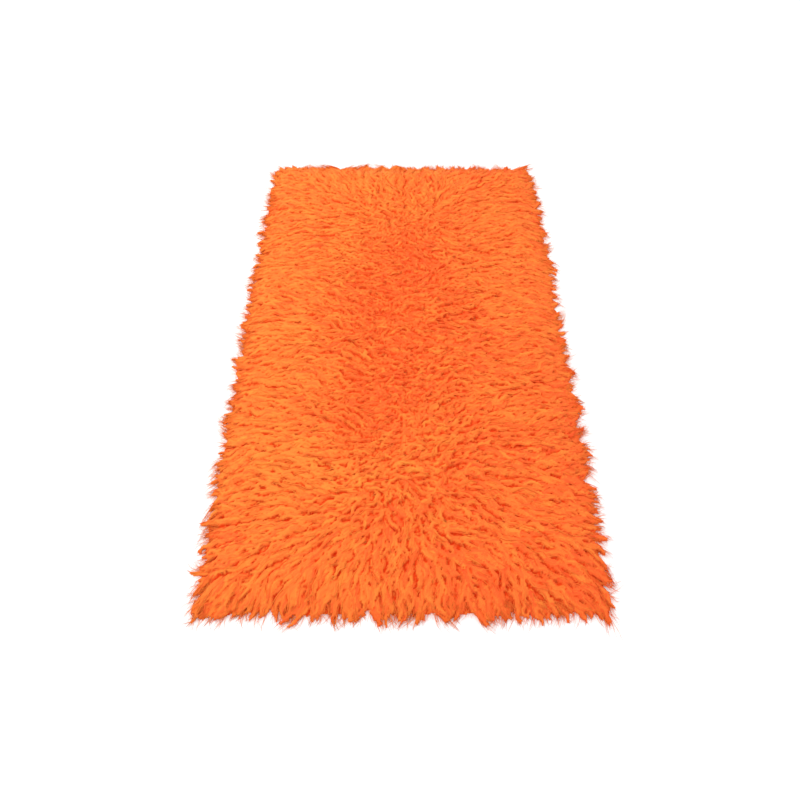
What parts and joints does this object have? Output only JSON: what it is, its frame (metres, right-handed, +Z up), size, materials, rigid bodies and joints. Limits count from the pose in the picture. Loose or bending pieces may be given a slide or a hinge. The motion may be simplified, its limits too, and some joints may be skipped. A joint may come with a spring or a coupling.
{
  "type": "shag rug",
  "caption": "Rectangular long-pile wool rug lying flat, its pile brushed outwards from the middle, with pointed locks of wool reaching past every edge.",
  "frame": {"origin": "on the floor, under the middle of the rug", "axes": "+Z up from the floor, +Y along the rug's length, +X across it"},
  "size_m": [1.0909, 1.8797, 0.0649],
  "materials": {
    "orange_wool": "matte"
  },
  "bodies": {
    "root": {"shag_rug": "orange_wool"}
  },
  "joints": []
}
